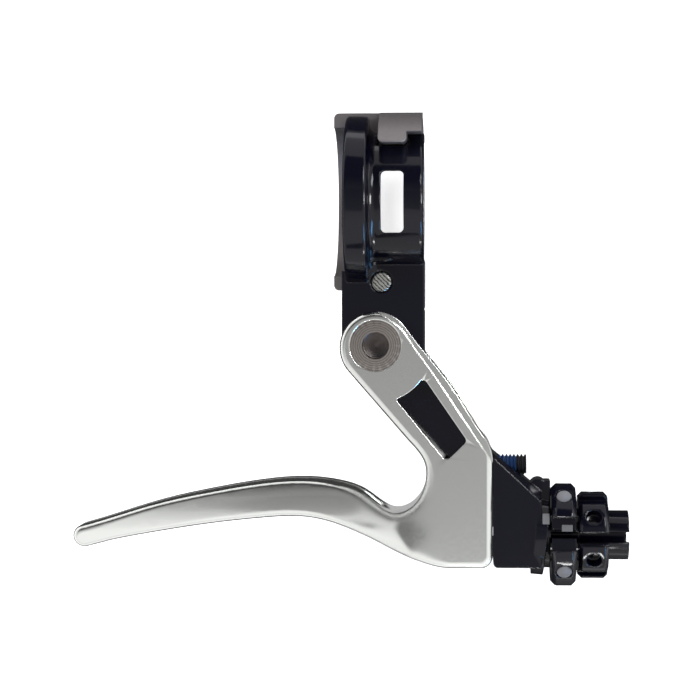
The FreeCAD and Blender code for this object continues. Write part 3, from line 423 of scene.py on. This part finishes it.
# Two grey blocks that are painted glints, where small bright reflections lie on the ring's notch and on the band.
glint_block("lock_ring_glint_block", "lock_ring", offset=(0.55, 1.95, 7.0), size=(2.0, 1.25, 0.3), lean=-7.0)
glint_block("band_glint_block", "lever_body", offset=(-3.35, 3.5, 6.25), size=(1.3, 2.0, 1.3), lean=-12.0)


# Studio

MIDDLE = Vector((-5.0, -28.0, 0.0)) * MM
TENT_RADIUS = 0.7
STRIP_RADIUS = 0.69
TABLE_RADIUS = 0.16
TABLE_FADE = 0.09
TABLE_LEVEL = FLOOR_LEVEL + 0.05 * MM


def glow(name, colour=(1.0, 1.0, 1.0), level=1.0):
    """Finish that only shines."""
    material, tree, shader = finish(name, colour=(0.0, 0.0, 0.0), rough=1.0)
    shader.inputs["Specular IOR Level"].default_value = 0.0
    shader.inputs["Emission Color"].default_value = (*colour, 1.0)
    shader.inputs["Emission Strength"].default_value = level
    return material, tree, shader


def graded_glow(name, levels, places, way=None):
    """Glow that changes its level between two places along a direction, or outwards where there is none."""
    material, tree, shader = glow(name)
    if way:
        along = add(tree, "ShaderNodeVectorMath", operation="DOT_PRODUCT")
        along.inputs[1].default_value = way
    else:
        along = add(tree, "ShaderNodeVectorMath", operation="LENGTH")
    tree.links.new(own_place(tree), along.inputs[0])
    level = spread(tree, along.outputs["Value"], *places, *levels)
    tree.links.new(level, shader.inputs["Emission Strength"])
    return material


def floor():
    """White floor that keeps the part's shadow."""
    shape = bmesh.new()
    bmesh.ops.create_grid(shape, x_segments=1, y_segments=1, size=3.0)
    bmesh.ops.translate(shape, verts=shape.verts, vec=(0.0, 0.0, FLOOR_LEVEL))
    material, tree, shader = glow("floor_white", level=0.7)
    shader.inputs["Base Color"].default_value = (0.8, 0.8, 0.8, 1.0)
    placed(shape, "floor", material)


def room():
    """Even dim light all round, that shows as white to the camera and in gloss."""
    world = bpy.data.worlds.new("studio")
    scene.world = world
    world.use_nodes = True
    tree = world.node_tree
    light = tree.nodes["Background"]
    light.inputs["Color"].default_value = (0.5, 0.5, 0.51, 1.0)
    white = add(tree, "ShaderNodeBackground")
    white.inputs["Color"].default_value = (1.0, 1.0, 1.0, 1.0)
    path = add(tree, "ShaderNodeLightPath")
    shown = path.outputs["Is Camera Ray"]
    for kind in ("Is Transmission Ray", "Is Glossy Ray"):
        either = add(tree, "ShaderNodeMath", operation="MAXIMUM")
        tree.links.new(shown, either.inputs[0])
        tree.links.new(path.outputs[kind], either.inputs[1])
        shown = either.outputs["Value"]
    mix = add(tree, "ShaderNodeMixShader")
    tree.links.new(shown, mix.inputs["Fac"])
    tree.links.new(light.outputs["Background"], mix.inputs[1])
    tree.links.new(white.outputs["Background"], mix.inputs[2])
    tree.links.new(mix.outputs["Shader"], tree.nodes["World Output"].inputs["Surface"])


def lamp(name, at, size, power, colour=(1.0, 1.0, 1.0)):
    """Soft lamp that looks at the middle of the part and doesn't show in its gloss."""
    data = bpy.data.lights.new(name, "AREA")
    data.shape = "RECTANGLE"
    data.size = size[0]
    data.size_y = size[1]
    data.energy = power
    data.color = colour
    thing = bpy.data.objects.new(name, data)
    thing.location = at
    thing.rotation_euler = (MIDDLE - Vector(at)).to_track_quat("-Z", "Y").to_euler()
    thing.visible_glossy = False
    scene.collection.objects.link(thing)


def gloss_only(shape, name, material):
    """Card that shows in the gloss of the part and nowhere else."""
    piece = placed(shape, name, material)
    piece.data.shade_smooth()
    piece.visible_camera = False
    piece.visible_diffuse = False
    piece.visible_shadow = False
    piece.visible_transmission = False


def arc(shape, radius, from_top, bearing, steps):
    """Arc of a dome, between two angles from straight up, at one bearing. All angles are in degrees."""
    high, low = (math.radians(angle) for angle in from_top)
    turn = math.radians(bearing)
    out = radius * math.sin(high)
    top = shape.verts.new((out * math.cos(turn), out * math.sin(turn), radius * math.cos(high)))
    across = (-math.sin(turn), math.cos(turn), 0.0)
    bmesh.ops.spin(shape, geom=[top], cent=(0, 0, 0), axis=across, angle=low - high, steps=steps)


def tent_ring(name, from_top, levels):
    """Ring of a round light tent, brighter at the blade's front side."""
    shape = bmesh.new()
    arc(shape, TENT_RADIUS, from_top, bearing=0.0, steps=12)
    bmesh.ops.spin(shape, geom=shape.edges[:], cent=(0, 0, 0), axis=(0, 0, 1), angle=math.tau, steps=48,
                   use_merge=True)
    bmesh.ops.remove_doubles(shape, verts=shape.verts, dist=0.01 * MM)
    gloss_only(shape, name, graded_glow(name, levels, places=(-0.35, 0.3), way=(0.3, -0.95, 0.0)))


def tent_strip(name, bearings, from_top, colour, level):
    """Narrow lit gap in the tent, between two bearings."""
    shape = bmesh.new()
    arc(shape, STRIP_RADIUS, from_top, bearing=bearings[0], steps=6)
    bmesh.ops.spin(shape, geom=shape.edges[:], cent=(0, 0, 0), axis=(0, 0, 1),
                   angle=math.radians(bearings[1] - bearings[0]), steps=6)
    gloss_only(shape, name, glow(name, colour, level)[0])


def near_card(name, at, aim, size, level):
    """Small card close to the part, that only the nearest faces reflect. Its place and size are in mm."""
    turn = (Vector(aim) - Vector(at)).to_track_quat("-Z", "Y").to_matrix().to_4x4()
    place = Matrix.Scale(MM, 4) @ Matrix.Translation(at) @ turn @ Matrix.Diagonal((*size, 1.0, 1.0))
    shape = bmesh.new()
    bmesh.ops.create_grid(shape, x_segments=1, y_segments=1, size=0.5, matrix=place)
    gloss_only(shape, name, glow(name, level=level)[0])


def dark_table():
    """Dark round card on the floor under the part, fading out to the floor's white."""
    shape = bmesh.new()
    place = Matrix.Translation((MIDDLE.x, MIDDLE.y, TABLE_LEVEL))
    bmesh.ops.create_circle(shape, cap_ends=True, segments=64, radius=TABLE_RADIUS, matrix=place)
    paint = graded_glow("dark_table", levels=(0.05, 0.9), places=(TABLE_FADE, TABLE_RADIUS))
    gloss_only(shape, "dark_table", paint)


def studio():
    """Floor, light and cards round the part."""
    floor()
    room()
    lamp("key_left", at=(-0.45, 0.15, 0.4), size=(0.35, 0.5), power=4.0)
    lamp("fill_right", at=(0.5, -0.1, 0.3), size=(0.3, 0.5), power=2.5, colour=(0.85, 0.92, 1.0))
    lamp("back", at=(0.0, 0.55, 0.3), size=(0.6, 0.25), power=2.0)
    tent_ring("tent_top", from_top=(0.0, 15.0), levels=(0.14, 0.55))
    tent_ring("tent_side", from_top=(15.0, 60.0), levels=(0.08, 1.12))
    dark_table()
    tent_strip("strip_far", bearings=(30.0, 56.0), from_top=(40.0, 54.0),
               colour=(0.933, 0.967, 1.0), level=15.0)
    tent_strip("strip_blue", bearings=(309.0, 321.0), from_top=(48.0, 74.0),
               colour=(0.182, 0.5, 1.0), level=22.0)
    near_card("card_dark", at=(-3.5, -69.5, 45.0), aim=(6.0, -60.0, 8.0), size=(13.0, 22.0), level=0.2)
    above_table = TABLE_LEVEL / MM + 0.05
    near_card("card_crook", at=(8.5, -51.0, above_table), aim=(8.5, -51.0, 40.0), size=(13.0, 14.0),
              level=0.5)
    near_card("card_clamp", at=(80.0, 3.0, 58.0), aim=(0.0, 0.0, 12.0), size=(18.0, 22.0), level=36.0)
    near_card("card_adjuster", at=(32.0, -133.0, 46.0), aim=(32.0, -62.0, 6.0), size=(33.0, 7.0), level=40.0)


# Camera

CAMERA_STAND = Vector((17.0, -18.5, 380.0)) * MM
CAMERA_AIM = Vector((-5.66, -27.9, 0.0)) * MM
PICTURE_WIDTH = 700.0
PIXELS_PER_MM = 5.3
SENSOR_WIDTH = 36.0


def camera():
    """Looks down on the lever from high above, a little to the right of its pivot."""
    data = bpy.data.cameras.new("photo_camera")
    thing = bpy.data.objects.new("photo_camera", data)
    sight = CAMERA_AIM - CAMERA_STAND
    look = sight.normalized()
    side = look.cross(Vector((0.0, 1.0, 0.0))).normalized()
    up = side.cross(look)
    turn = Matrix((side, up, -look)).transposed()
    thing.matrix_world = Matrix.Translation(CAMERA_STAND) @ turn.to_4x4()
    data.sensor_width = SENSOR_WIDTH
    data.lens = SENSOR_WIDTH * PIXELS_PER_MM * sight.length / MM / PICTURE_WIDTH
    data.clip_start = 0.01
    scene.collection.objects.link(thing)
    scene.camera = thing


studio()
camera()
scene.view_settings.view_transform = "Standard"
